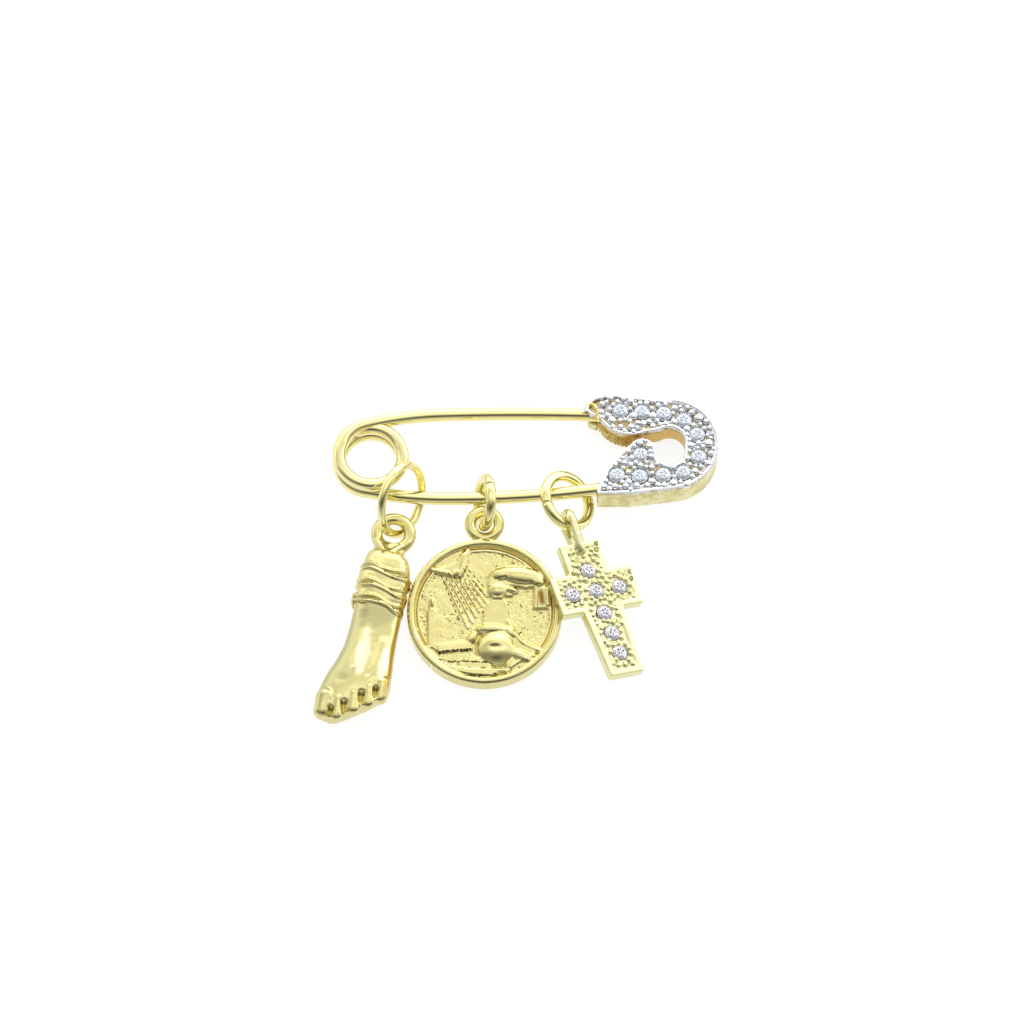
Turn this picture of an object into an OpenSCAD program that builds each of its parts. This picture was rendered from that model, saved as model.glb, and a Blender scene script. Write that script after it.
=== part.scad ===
// Safety-pin brooch with a stone-set head and three charms on jump rings.
// The brooch lies on its back. The origin is on the flat back of the head, below the end of the fixed wire.
// +X runs towards the nose of the head, +Y towards the arm that opens, +Z out of the face.

/* [Spring wire] */
// Thickness of the wire
wire_d = 1.2; // [1.1:0.05:1.25]
// Radius of the coil's centre line
coil_r = 2.9; // [2.8:0.05:3]
// Height of the fixed wire's centre line
fixed_z = 2.0; // [1.95:0.01:2.05]
// Slope of the arm from the coil down to the catch, in degrees
arm_slope = 4.87; // [4.7:0.01:5]
// Length of the taper at the arm's point
point_l = 3.6; // [2:0.1:4]

/* [Head] */
// Thickness of the head from its back to the rim of its face
head_t = 3.2; // [3.1:0.05:3.4]
// Radius of the head's round nose
nose_r = 4.4; // [4.3:0.05:4.5]
// Width of the raised rim round the stone field
rim_w = 0.28; // [0.24:0.02:0.4]
// Depth of the stone field below the rim
field_sink = 0.22; // [0.1:0.02:0.3]
// Radius of the head's stones
head_stone_r = 0.75; // [0.6:0.05:0.8]

/* [Jump rings] */
// Wire of the hand's ring
ring_hand_d = 0.8; // [0.7:0.05:0.85]
// Wire of the other two rings
ring_d = 1.0; // [0.8:0.05:1]
// Angle of the hairline seam where a ring's ends meet
ring_seam = 1.2; // [0.5:0.1:3]

/* [Charms] */
// Radius of the medal
medal_r = 7.0; // [6.5:0.1:7]
// Thickness of the medal at its rim
medal_t = 1.5; // [1.4:0.1:1.6]
// Height of the medal's relief
relief_h = 0.32; // [0.2:0.02:0.45]
// Thickness of the cross
cross_t = 1.0; // [0.9:0.1:1.1]
// Width of the cross's arms
cross_w = 3.94; // [3.7:0.02:4]
// Radius of the cross's stones
cross_stone_r = 0.72; // [0.6:0.02:0.76]
// Thickness of the band of the hand's loop
hand_loop_d = 1.15; // [1:0.05:1.2]

/* [Hidden] */
$fn = 64;
wire_r = wire_d / 2;
gold = [0.93, 0.83, 0.45];
silver = [0.88, 0.89, 0.91];
crystal = [0.86, 0.92, 0.98];

// Fixed wire: a straight end in the head, two flat bends under the charms, then the coil's lower turn
fixed_end_x = 0.5;
fixed_out_x = -3.2;
fixed_heading = 7.6;
outer_bend_r = 100;
inner_bend_r = 40;
coil_entry = 11;
lower_turn_top = 25;
sleeve_l = 0.12;
seam_swell = 0.012;

function ahead(a) = [cos(a), sin(a)];
function left_of(a) = [-sin(a), cos(a)];
fixed_out = [fixed_out_x, fixed_out_x * tan(fixed_heading)];
outer_bend_c = fixed_out + outer_bend_r * left_of(fixed_heading);
inner_bend_c = outer_bend_c - (outer_bend_r - inner_bend_r) * left_of(0);
coil_c = inner_bend_c - (inner_bend_r - coil_r) * left_of(-coil_entry);

// Arm: the coil's upper turn, three bends of growing radius, then a straight stretch with a tapered point
arm_bend_r = [3.2, 32, 218];
arm_heading = [90, 17, 4.15, 0.45];
arm_straight_l = 0.6;
tip_r = 0.24;
point_profile = concat([[0, 0], [wire_r, 0], [wire_r, arm_straight_l]],
                       [for (a = [0 : 18 : 90]) [tip_r * cos(a), arm_straight_l + point_l + tip_r * sin(a)]]);
turn_gap = 0.05;
upper_right_z = fixed_z + wire_d + turn_gap;
upper_left_z = upper_right_z + 2 * coil_r * sin(arm_slope);
upper_turn_top = 112;
arm_bend_c0 = [arm_bend_r[0], 0];
arm_bend_c1 = arm_bend_c0 - (arm_bend_r[1] - arm_bend_r[0]) * left_of(arm_heading[1]);
arm_bend_c2 = arm_bend_c1 - (arm_bend_r[2] - arm_bend_r[1]) * left_of(arm_heading[2]);
arm_bends = [arm_bend_c0, arm_bend_c1, arm_bend_c2];
arm_end = arm_bend_c2 + arm_bend_r[2] * left_of(arm_heading[3]);

// Head outline: circles as [x, y, radius]
nose = [3.6, 3.64, nose_r];
lip = [-2.9, 7.62, 1.15];
lobe = [0.1, 7.79, 3.2];
foot = [-2.8, -1.01, 0.25];
belly = [0.2, -0.16, 1.05];
tongue = [1.15, 2.96, 1.25];
hole_a = [3.6, 3.94, 1.45];
hole_b = [3.72, 2.84, 1.27];
field_z = head_t - field_sink;
back_recess = 0.6;
catch_floor = 1.05;
catch_roof = 2.48;
catch_back_y = 6.52;
catch_end_x = 1.5;
seat_gap = 0.04;
seat_step = 0.1;
socket_gap = 0.03;
socket_spare = 0.15;
seat_floor = 2.56;

// Head stones as [x, y]
head_stones = [[-0.85, 7.06], [1.12, 6.94], [3.12, 6.78], [4.94, 6.13], [6.12, 4.66], [6.25, 2.42],
               [4.85, 0.86], [3.03, 0.62], [0.88, 0.48], [-1.19, 0.59], [0.98, 2.65]];
// Jump rings as [centre, [tilt from upright axis, turn], centre line radius, angle of the seam]
ring_hand_at = [[-20.69, -2.06, 3.37], [67.4, -26.3], 3.2, 38];
ring_medal_at = [[-13.18, -1.98, 2.62], [75, 183.5], 2.18, 200];
ring_cross_at = [[-5.68, -1.53, 1.96], [35.9, 1.3], 2.44, 200];

// Hand charm: its loop is the origin of its own frame, y runs towards the fingers
hand_at = [-21.43, -4.82, 1.9];
hand_turn = -14;
hand_loop_r = 1.52;
// Rows as [y, left, right, half thickness]
hand_rows = [[1.0, -1.45, 1.6, 0.5], [1.75, -1.4, 1.5, 0.62], [2.1, -1.55, 1.65, 1.0], [2.4, -1.78, 2.0, 1.4],
             [2.9, -1.88, 2.3, 1.6], [3.9, -1.98, 2.56, 1.66], [4.3, -1.9, 2.5, 1.58], [4.75, -2.06, 2.68, 1.68],
             [5.35, -2.02, 2.7, 1.68], [5.7, -1.86, 2.6, 1.58], [6.15, -1.88, 2.78, 1.66],
             [6.9, -1.8, 2.8, 1.64], [7.25, -1.66, 2.7, 1.5], [8.8, -1.6, 2.84, 1.48],
             [10.4, -1.56, 2.94, 1.52], [12.0, -1.62, 3.12, 1.6], [13.6, -1.96, 3.36, 1.7],
             [15.0, -2.4, 3.5, 1.74], [16.0, -2.62, 3.3, 1.7], [16.9, -2.74, 2.55, 1.6],
             [17.8, -2.7, 1.4, 1.5], [18.6, -2.5, 0.4, 1.3], [19.1, -2.1, -0.2, 1.0]];
hand_corners = 24;
// Fingers as [knuckle x, knuckle y, fold x, fold y, radius]
hand_fingers = [[-1.85, 17.5, -1.78, 18.8, 0.85], [-0.5, 17.5, -0.45, 18.95, 0.62],
                [0.65, 16.7, 0.8, 17.95, 0.66], [1.85, 15.8, 1.95, 17.1, 0.66], [2.85, 15.0, 2.95, 16.3, 0.66]];
knuckle_z = 1.05;
fold_z = 0.8;
curl_z = -0.8;

// Medal: its centre is the origin of its own frame
medal_at = [-13.19, -12.42, 1.19];
medal_tilt = 3.5;
medal_rim_w = 0.65;
medal_sink = 0.35;
medal_loop_y = 8.64;
medal_loop_z = 0.06;
medal_loop_r = 1.31;
medal_loop_wire = 1.0;
medal_floor = medal_t / 2 - medal_sink;
ray_count = 7;
child_r = 1.93;
child_h = 1.0;

// Cross: the crossing of its arms is the origin of its own frame
cross_at = [-3.21, -10.61, 1.85];
cross_roll = 17;
cross_yaw = 19;
cross_top = 4.98;
cross_side = 4.02;
cross_foot = 8.65;
cross_foot_w = 3.34;
cross_border = 0.52;
cross_sink = 0.15;
bail_rise = 2.2;
bail_r = 1.05;
bail_wire_r = 0.4;
bail_lean = 8;
bail_foot = 0.5;
bail_overlap = 0.1;
cross_stones = [[0, 2.12], [-2.32, 0], [0, 0], [2.32, 0], [0, -2.3], [0, -4.4], [0, -6.45]];

// Cut stones: a table, crown facets, a girdle and a pointed back
stone_corners = 16;
table_share = 0.56;
crown_h = 0.24;
girdle_h = 0.05;
pavilion_h = 0.4;

// A round wire bent round the centre c with radius r, from angle a0 to a1
module bend(c, r, a0, a1, thick = wire_r) {
    translate([c[0], c[1], 0])
        rotate([0, 0, a0])
            rotate_extrude(angle = a1 - a0, $fn = 96)
                translate([r, 0])
                    circle(r = thick, $fn = 32);
}

// A straight round wire between two points of the plane
module rod(p, q, r0 = wire_r, r1 = wire_r) {
    d = q - p;
    translate([p[0], p[1], 0])
        rotate([0, 90, atan2(d[1], d[0])])
            cylinder(h = norm(d), r1 = r0, r2 = r1, $fn = 32);
}

// A thin sleeve that joins two stretches of wire at the point p, where the wire runs in the direction a
module sleeve(p, a) {
    rod(p - sleeve_l * ahead(a), p + sleeve_l * ahead(a), wire_r + seam_swell, wire_r + seam_swell);
}

// A wire's rounded end at the point p, facing the direction a
module wire_end(p, a, r) {
    translate([p[0], p[1], 0])
        rotate([0, 90, a])
            rotate_extrude($fn = 32)
                intersection() {
                    circle(r = r, $fn = 32);
                    square([r, r]);
                }
}

module ball(p, r) {
    translate([p[0], p[1], len(p) > 2 ? p[2] : 0])
        sphere(r = r, $fn = 32);
}

// Two circles and the band between their outer tangents, all drawn in by the same amount
module band(a, b, inset = 0) {
    d = [b[0] - a[0], b[1] - a[1]];
    turn = atan2(d[1], d[0]);
    lean = acos((a[2] - b[2]) / norm(d));
    up = ahead(turn + lean);
    down = ahead(turn - lean);
    ra = max(a[2] - inset, 0.1);
    rb = max(b[2] - inset, 0.1);
    pa = [a[0], a[1]];
    pb = [b[0], b[1]];
    ka = ra * 0.998;
    kb = rb * 0.998;
    translate(pa) circle(r = ra);
    translate(pb) circle(r = rb);
    polygon([pa + ka * up, pa + ka * down, pb + kb * down, pb + kb * up]);
}

// The lower lobe, with its round tongue that reaches the hole
module lower_lobe(inset) {
    translate([tongue[0], tongue[1]]) circle(r = tongue[2] - inset);
    polygon([[-3.05 + inset, -1.6], [-3.05 + inset, -1.2], [-2.47 + inset, 0.48 - inset],
             [-1.7 + inset, 1.79 - inset], [-0.97 + 0.7 * inset, 2.66 - 0.9 * inset],
             [0.23 + 0.7 * inset, 3.76 - 0.9 * inset], [2.4 - inset, 2.9], [2.45 - inset, 2.03],
             [2.75, 1.6], [2.75, -1.6]]);
}

// The upper lobe, whose left end runs out in a pointed lip over the arm
module upper_lobe(inset) {
    translate([lobe[0], lobe[1]]) circle(r = lobe[2] - inset);
    difference() {
        translate([lip[0], lip[1]]) circle(r = lip[2] - inset);
        translate([lip[0] - 2, lip[1] - 2.16]) square([1.1, 2 + inset]);
    }
}

// The head seen from its face, drawn in by an inset all round
module head_area(inset = 0) {
    difference() {
        union() {
            band(lip, nose, inset);
            band(foot, nose, inset);
            band(belly, nose, inset);
            band(foot, belly, inset);
        }
        band([hole_a[0], hole_a[1], hole_a[2] + inset], [hole_b[0], hole_b[1], hole_b[2] + inset]);
        difference() {
            polygon([[-6, 7.46 + inset], [-2, 7.46 + inset], [1.45, 4.87 + inset], [2.75, 5.1 + inset],
                     [2.75, -1.6], [-6, -1.6]]);
            upper_lobe(inset);
            lower_lobe(inset);
        }
    }
}

// Room for the arm: open towards +Y, so that the arm can swing out of the head
module catch_room() {
    translate([-6, catch_back_y, catch_floor])
        cube([6 + catch_end_x, 6, catch_roof - catch_floor]);
}

// Seat of a stone: a round pocket with a sloped floor
module seat(r, top, step, floor_z, floor_r) {
    translate([0, 0, top - step])
        cylinder(h = step + 1, r = r);
    translate([0, 0, floor_z])
        cylinder(h = top - step - floor_z, r1 = floor_r, r2 = r);
}

module clasp_head() color(silver) {
    difference() {
        linear_extrude(head_t) head_area();
        translate([0, 0, field_z])
            linear_extrude(1) head_area(rim_w);
        catch_room();
        // The back of the upper lobe and of the hole's edge is set in from the outer wall
        translate([0, 0, -1])
            linear_extrude(1 + back_recess)
                intersection() {
                    union() {
                        translate([lobe[0], lobe[1]]) circle(r = lobe[2] + 0.1);
                        band([hole_a[0], hole_a[1], hole_a[2] + 0.45], [hole_b[0], hole_b[1], hole_b[2] + 0.3]);
                    }
                    translate([-6, 0]) square([20, 7.6]);
                }
        // Socket of the fixed wire
        translate([0, 0, fixed_z])
            rod(ahead(fixed_heading) * -6, ahead(fixed_heading) * (fixed_end_x + socket_spare),
                wire_r + socket_gap, wire_r + socket_gap);
        for (p = head_stones)
            translate([p[0], p[1], 0])
                seat(head_stone_r + seat_gap, field_z, seat_step, seat_floor, 0.3);
    }
}

module fixed_wire() color(gold)
    translate([0, 0, fixed_z]) {
        rod(ahead(fixed_heading) * fixed_end_x, fixed_out);
        bend(outer_bend_c, outer_bend_r, 270, 270 + fixed_heading);
        bend(inner_bend_c, inner_bend_r, 270 - coil_entry, 270);
        bend(coil_c, coil_r, lower_turn_top, 270 - coil_entry);
        sleeve(fixed_out, fixed_heading);
        sleeve(inner_bend_c - [0, inner_bend_r], 0);
        sleeve(coil_c + coil_r * ahead(270 - coil_entry), -coil_entry);
        sleeve(coil_c + coil_r * ahead(lower_turn_top), lower_turn_top + 90);
        wire_end(coil_c + coil_r * ahead(lower_turn_top), lower_turn_top - 90, wire_r);
    }

// The arm and most of the upper turn lie in one sloping plane, hung from the coil's left side.
// The last part of the turn is level, and its end runs in under the arm and is one with it.
module pin_arm() color(gold) {
    translate([coil_c[0] - coil_r, coil_c[1], upper_left_z])
        rotate([0, arm_slope, 0]) {
            bend([coil_r, 0], coil_r, 180, 360);
            for (i = [0 : 2])
                bend(arm_bends[i], arm_bend_r[i], 90 + arm_heading[i + 1], 90 + arm_heading[i]);
            translate([arm_end[0], arm_end[1], 0])
                rotate([0, 90, arm_heading[3]])
                    rotate_extrude($fn = 32)
                        polygon(point_profile);
            sleeve([0, 0], 90);
            for (i = [0 : 2])
                sleeve(arm_bends[i] + arm_bend_r[i] * left_of(arm_heading[i + 1]), arm_heading[i + 1]);
        }
    turn_c = [coil_c[0] - coil_r + 2 * coil_r * cos(arm_slope) - coil_r, coil_c[1]];
    turn_end = turn_c + coil_r * ahead(upper_turn_top);
    translate([0, 0, upper_right_z]) {
        bend(turn_c, coil_r, 0, upper_turn_top);
        wire_end(turn_end, upper_turn_top + 90, wire_r);
        sleeve(turn_c + [coil_r, 0], 90);
    }
}

// A jump ring of round wire with a hairline seam
module jump_ring(at, wire) {
    translate(at[0])
        rotate([0, at[1][0], at[1][1]])
            rotate([0, 0, at[3]])
                rotate_extrude(angle = 360 - ring_seam, $fn = 64)
                    translate([at[2], 0])
                        circle(r = wire / 2, $fn = 24);
}

module ring_hand() color(gold) jump_ring(ring_hand_at, ring_hand_d);
module ring_medal() color(gold) jump_ring(ring_medal_at, ring_d);
module ring_cross() color(gold) jump_ring(ring_cross_at, ring_d);

// One section of the hand: an oval a little squarer than an ellipse
function oval(row) =
    [for (i = [0 : hand_corners - 1])
        let (a = 360 * i / hand_corners, c = cos(a), s = sin(a))
        [(row[1] + row[2]) / 2 + (row[2] - row[1]) / 2 * sign(c) * pow(abs(c), 0.8),
         -row[0],
         row[3] * sign(s) * pow(abs(s), 0.8)]];

module hand_loft() {
    n = hand_corners;
    m = len(hand_rows);
    points = [for (row = hand_rows) each oval(row)];
    sides = [for (j = [0 : m - 2]) for (i = [0 : n - 1])
        [j * n + i, (j + 1) * n + i, (j + 1) * n + (i + 1) % n, j * n + (i + 1) % n]];
    first = [for (i = [0 : n - 1]) i];
    last = [for (i = [n - 1 : -1 : 0]) (m - 1) * n + i];
    polyhedron(points, concat([first], sides, [last]));
}

// A folded finger: from the knuckle down to the fold, and back under the palm
module finger(f) {
    hull() {
        translate([f[0], -f[1], knuckle_z]) sphere(r = f[4], $fn = 16);
        translate([f[2], -f[3], fold_z]) sphere(r = f[4], $fn = 16);
    }
    hull() {
        translate([f[2], -f[3], fold_z]) sphere(r = f[4], $fn = 16);
        translate([f[0], -f[1] + 0.4, curl_z]) sphere(r = f[4], $fn = 16);
    }
}

module hand_charm() color(gold)
    translate(hand_at)
        rotate([0, 0, hand_turn]) {
            hand_loft();
            for (f = hand_fingers)
                finger(f);
            rotate_extrude($fn = 28)
                translate([hand_loop_r, 0])
                    circle(r = hand_loop_d / 2, $fn = 14);
        }

// A raised flat figure of the relief
module figure(points, h = relief_h) {
    translate([0, 0, medal_floor - 0.2])
        linear_extrude(h + 0.2) polygon(points);
}

// A raised round bar of the relief, half sunk in the ground
module limb(p, q, r) {
    translate([0, 0, medal_floor]) {
        rod(p, q, r, r);
        ball(p, r);
        ball(q, r);
    }
}

// A raised round bulge of the relief, r wide at its foot and h high
module dome(p, r, h) {
    whole = (r * r + h * h) / (2 * h);
    translate([p[0], p[1], medal_floor])
        intersection() {
            translate([0, 0, h - whole]) sphere(r = whole);
            translate([0, 0, -0.2]) cylinder(h = 0.2 + 2 * h, r = 1.2 * r);
        }
}

module medal() color(gold)
    translate(medal_at)
        rotate([medal_tilt, 0, 0]) {
            difference() {
                translate([0, 0, -medal_t / 2]) cylinder(h = medal_t, r = medal_r, $fn = 96);
                translate([0, 0, medal_floor]) cylinder(h = 1, r = medal_r - medal_rim_w, $fn = 96);
            }
            // Loop and its neck
            translate([0, medal_loop_y, medal_loop_z])
                rotate_extrude() translate([medal_loop_r, 0]) circle(r = medal_loop_wire / 2, $fn = 24);
            // Dove: the near wing with the body, and the far wing behind it
            figure([[-5.05, 4.1], [-4.25, 4.2], [-3.25, 4.4], [-2.5, 4.85], [-2.05, 5.6], [-1.35, 6.1],
                    [-1.55, 4.4], [-2.1, 3.35], [-2.9, 3.35], [-4.2, 3.65]]);
            figure([[-4.4, 4.35], [-4.1, 5.0], [-2.9, 5.75], [-2.2, 5.85], [-2.7, 4.9], [-3.3, 4.55]], relief_h * 0.6);
            // Rays that run down from the dove
            for (i = [0 : ray_count - 1])
                translate([-3.6 + 0.45 * i, 3.15 - 0.02 * i, medal_floor - 0.1])
                    rotate([0, 0, -66 + 2 * i])
                        cube([5.2 - 0.55 * i, 0.1, 0.1 + relief_h * 0.4]);
            // Candle and flame
            figure([[-5.05, -3.4], [-4.4, -3.6], [-4.4, 0.2], [-5.05, 0.2]]);
            limb([-4.72, 0.55], [-4.72, 1.05], 0.24);
            // Font: slab, leaf and step
            figure([[-4.2, -3.95], [-1.1, -3.6], [-1.2, -2.8], [-4.2, -3.35]]);
            figure([[-2.25, -5.0], [-1.3, -4.55], [-0.3, -4.4], [0.65, -5.3], [-1.2, -5.35]], relief_h * 0.8);
            figure([[-4.0, -4.55], [-3.0, -5.15], [-1.2, -5.5], [1.15, -5.6], [1.2, -5.95], [-1.2, -5.98], [-3.1, -5.55]]);
            // Arm that comes in from the right, with its cuff
            figure([[0.35, 2.95], [0.6, 3.45], [1.35, 4.2], [2.9, 4.6], [4.5, 4.0], [5.3, 3.2], [5.4, 2.65],
                    [4.6, 2.4], [3.7, 2.3], [2.1, 2.6], [0.9, 2.8]], relief_h * 1.1);
            figure([[4.45, 0.35], [5.75, 0.35], [5.6, 2.4], [4.55, 2.4]], relief_h * 0.8);
            // Shell and the water that falls from it
            translate([1.2, 2.1, medal_floor - 0.45]) cylinder(h = 0.45 + relief_h, r = 0.85, $fn = 32);
            figure([[1.9, 2.7], [2.8, 2.3], [2.5, 1.5], [1.9, 1.5]], relief_h * 0.7);
            figure([[0.6, 1.4], [1.85, 1.4], [2.1, -1.4], [0.1, -1.4]], relief_h * 0.8);
            // Head of the child, plain, and its cloth
            dome([1.1, -3.4], child_r, child_h);
            figure([[1.6, -1.15], [2.3, -1.9], [3.3, -3.3], [4.8, -3.7], [4.3, -4.3], [2.9, -5.1], [2.0, -5.5]], relief_h * 0.9);
        }

// The cross seen from its face, drawn in by an inset all round
module cross_area(inset = 0) {
    w = cross_w / 2 - inset;
    f = cross_foot_w / 2 - inset;
    side = cross_side - inset;
    polygon([[-w, cross_top - inset], [-w, w], [-side, w], [-side, -w], [-w, -w], [-f, -cross_foot + inset],
             [f, -cross_foot + inset], [w, -w], [side, -w], [side, w], [w, w], [w, cross_top - inset]]);
}

cross_field = cross_t / 2 - cross_sink;

// Sets a thing in the cross's own frame
module on_cross() {
    translate(cross_at)
        rotate([0, 0, cross_yaw])
            rotate([0, cross_roll, 0])
                children();
}

// The bail's wire, drawn in a plane whose first axis is the cross's front and whose second is its length
module bail() {
    centre = [0, cross_top + bail_rise];
    foot_y = cross_top - bail_foot;
    rotate([0, -90, 0]) {
        bend(centre, bail_r, -bail_lean, 180 + bail_lean, bail_wire_r);
        for (side = [0, 1]) {
            a = side == 0 ? -bail_lean : 180 + bail_lean;
            d = side == 0 ? 270 - bail_lean : 270 + bail_lean;
            top = centre + bail_r * ahead(a);
            foot = top + (top[1] - foot_y) / cos(bail_lean) * ahead(d);
            rod(top, foot, bail_wire_r, bail_wire_r);
            rod(top - bail_overlap * ahead(d), top + bail_overlap * ahead(d),
                bail_wire_r + seam_swell, bail_wire_r + seam_swell);
        }
    }
}

module cross_charm() color(gold)
    on_cross() {
        difference() {
            translate([0, 0, -cross_t / 2]) linear_extrude(cross_t) cross_area();
            translate([0, 0, cross_field]) linear_extrude(1) cross_area(cross_border);
            for (p = cross_stones)
                translate([p[0], p[1], 0])
                    seat(cross_stone_r + seat_gap, cross_field, seat_step, -0.1, 0.25);
        }
        bail();
    }

// A round cut stone with its girdle on z = 0
module cut_stone(r) {
    n = stone_corners;
    step = 360 / n;
    table = [for (i = [0 : 2 : n - 1]) [r * table_share * cos(i * step), r * table_share * sin(i * step),
                                        girdle_h / 2 + crown_h]];
    upper = [for (i = [0 : n - 1]) [r * cos(i * step), r * sin(i * step), girdle_h / 2]];
    lower = [for (i = [0 : n - 1]) [r * cos(i * step), r * sin(i * step), -girdle_h / 2]];
    k = n / 2;
    points = concat(table, upper, lower, [[0, 0, -girdle_h / 2 - pavilion_h]]);
    crown = [for (i = [0 : k - 1]) each [
        [i, k + 2 * i, k + (2 * i + n - 1) % n],
        [i, k + 2 * i + 1, k + 2 * i],
        [i, (i + 1) % k, k + 2 * i + 1]]];
    girdle = [for (i = [0 : n - 1]) [k + i, k + (i + 1) % n, k + n + (i + 1) % n, k + n + i]];
    pavilion = [for (i = [0 : n - 1]) [k + n + i, k + n + (i + 1) % n, k + 2 * n]];
    polyhedron(points, concat([[for (i = [k - 1 : -1 : 0]) i]], crown, girdle, pavilion));
}

module head_stone(i) color(crystal)
    translate([head_stones[i][0], head_stones[i][1], field_z + 0.02])
        cut_stone(head_stone_r);

module cross_stone(i) color(crystal)
    on_cross()
        translate([cross_stones[i][0], cross_stones[i][1], cross_field + 0.02])
            cut_stone(cross_stone_r);

clasp_head();
fixed_wire();
pin_arm();
ring_hand();
ring_medal();
ring_cross();
hand_charm();
medal();
cross_charm();
for (i = [0 : len(head_stones) - 1])
    head_stone(i);
for (i = [0 : len(cross_stones) - 1])
    cross_stone(i);
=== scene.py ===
# Safety-pin brooch with a stone-set head and three charms, lying on its back on a pale table.
# Pieces are shaped in millimetres, as a jeweller measures them, and put down in metres when they are done.
import math
import random

import bmesh
import bpy
from mathutils import Matrix, Vector


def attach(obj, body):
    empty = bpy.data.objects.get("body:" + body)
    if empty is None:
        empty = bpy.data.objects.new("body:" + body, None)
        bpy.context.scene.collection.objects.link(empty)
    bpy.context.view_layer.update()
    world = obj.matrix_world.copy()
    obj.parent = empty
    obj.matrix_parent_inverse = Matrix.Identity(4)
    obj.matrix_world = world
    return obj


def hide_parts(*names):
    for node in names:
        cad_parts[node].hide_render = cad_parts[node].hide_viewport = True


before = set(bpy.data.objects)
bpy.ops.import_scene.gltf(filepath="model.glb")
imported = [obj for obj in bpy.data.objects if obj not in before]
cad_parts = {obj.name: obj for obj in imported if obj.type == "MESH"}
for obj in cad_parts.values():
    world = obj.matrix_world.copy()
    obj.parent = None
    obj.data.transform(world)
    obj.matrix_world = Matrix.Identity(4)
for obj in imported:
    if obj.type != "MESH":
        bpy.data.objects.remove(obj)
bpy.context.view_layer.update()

# Head casting
# The head of the pin is one casting: a raised flat rim round a sunk field of stones, plain side walls,
# a round hole and the catch for the point. It is plated with gold, and its face is then dipped in rhodium.
MM = 0.001
FACE_RIM_Z = 3.2
FACE_FIELD_Z = 2.98
RHODIUM_LINE_Z = 2.62


class Flow:
    """One output of a node in a finish. Sums on it add Math nodes."""

    def __init__(self, tree, socket=None):
        self.tree = tree
        self.socket = socket

    def node(self, kind, settings=(), sockets=(), out=0):
        """Adds a node: first its settings, then the values or links of its sockets."""
        made = self.tree.nodes.new("ShaderNode" + kind)
        for name, value in dict(settings).items():
            if name == "stops":
                stops = made.color_ramp.elements
                stops[0].position, stops[0].color = value[0]
                stops[1].position, stops[1].color = value[-1]
                for place, colour in value[1:-1]:
                    stops.new(place).color = colour
            else:
                setattr(made, name, value)
        for name, value in dict(sockets).items():
            if isinstance(value, Flow):
                self.tree.links.new(value.socket, made.inputs[name])
            else:
                made.inputs[name].default_value = value
        return Flow(self.tree, made.outputs[out] if made.outputs else None)

    def maths(self, operation, *others):
        sockets = {i: value for i, value in enumerate((self, *others))}
        return self.node("Math", {"operation": operation}, sockets)

    def __add__(self, other):
        return self.maths("ADD", other)

    __radd__ = __add__

    def __sub__(self, other):
        return self.maths("SUBTRACT", other)

    def __rsub__(self, other):
        return self.node("Math", {"operation": "SUBTRACT"}, {0: other, 1: self})

    def __mul__(self, other):
        return self.maths("MULTIPLY", other)

    __rmul__ = __mul__

    def __truediv__(self, other):
        return self.maths("DIVIDE", other)

    def __gt__(self, other):
        return self.maths("GREATER_THAN", other)

    def __lt__(self, other):
        return self.maths("LESS_THAN", other)

    def step(self, low, high):
        """0 below low, 1 above high, and a smooth rise between."""
        settings = {"interpolation_type": "SMOOTHSTEP"}
        return self.node("MapRange", settings, {"Value": self, "From Min": low, "From Max": high})

    def parts(self):
        """The x, y and z of a vector."""
        return [self.node("SeparateXYZ", {}, {0: self}, out=i) for i in range(3)]

    def grain(self, size, detail=3.0):
        """Even cloudy noise round a place, whose spots are about this many millimetres across."""
        return self.node("TexNoise", {}, {"Vector": self, "Scale": 1 / size, "Detail": detail})

    def blend(self, first, second):
        """One colour where this is 0 and another where it is 1."""
        return self.node("Mix", {"data_type": "RGBA"}, {0: self, 6: first, 7: second}, out=2)


def new_finish(name):
    """An empty finish and the place on the piece, in millimetres, that its patterns read."""
    finish = bpy.data.materials.new(name)
    finish.use_nodes = True
    tree = finish.node_tree
    tree.nodes.clear()
    start = Flow(tree)
    spot = start.node("TexCoord", out=3)
    place = start.node("VectorMath", {"operation": "SCALE"}, {0: spot, "Scale": 1 / MM})
    return finish, start, place


def close_finish(start, sockets):
    """The surface itself: a principled shader joined to the finish's output."""
    start.node("OutputMaterial", {}, {"Surface": start.node("BsdfPrincipled", {}, sockets)})


def plate(start, colour, rough, height, strength, depth):
    """The surface of plated metal, with fine dents of about this depth in millimetres."""
    skin = start.node("Bump", {}, {"Strength": strength, "Distance": depth * MM, "Height": height})
    close_finish(start, {"Base Color": colour, "Metallic": 1.0, "Roughness": rough, "Normal": skin})


RHODIUM = (0.84, 0.86, 0.88, 1)
# Deep gold: painted shade in the head's hollows and on the hand's right edge, and a tone of the small gold
# parts
DEEP_GOLD = (0.62, 0.43, 0.10, 1)
# Walls where they are handled and where they shine, and painted shade on the walls of notch and hole
WALL_GOLD = (0.60, 0.52, 0.20, 1)
WALL_SHINE = (0.80, 0.76, 0.44, 1)
NOTCH_SHADE = (0.66, 0.44, 0.11, 1)
# The sunk field between the beads: painted shade in dark and pale metal, gold that shows through, and bare
# hollows
FIELD_SHADE_DARK = (0.20, 0.19, 0.17, 1)
FIELD_SHADE_PALE = (0.62, 0.63, 0.65, 1)
FIELD_GOLD = (0.50, 0.38, 0.14, 1)
BARE_GOLD = (0.55, 0.40, 0.12, 1)
# Middle and half sizes of the oval inside which the walls of notch and hole get painted shade and a grainy
# skin
NOTCH = (1.2, 4.8)
NOTCH_SPREAD = (5.0, 2.9)


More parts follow.
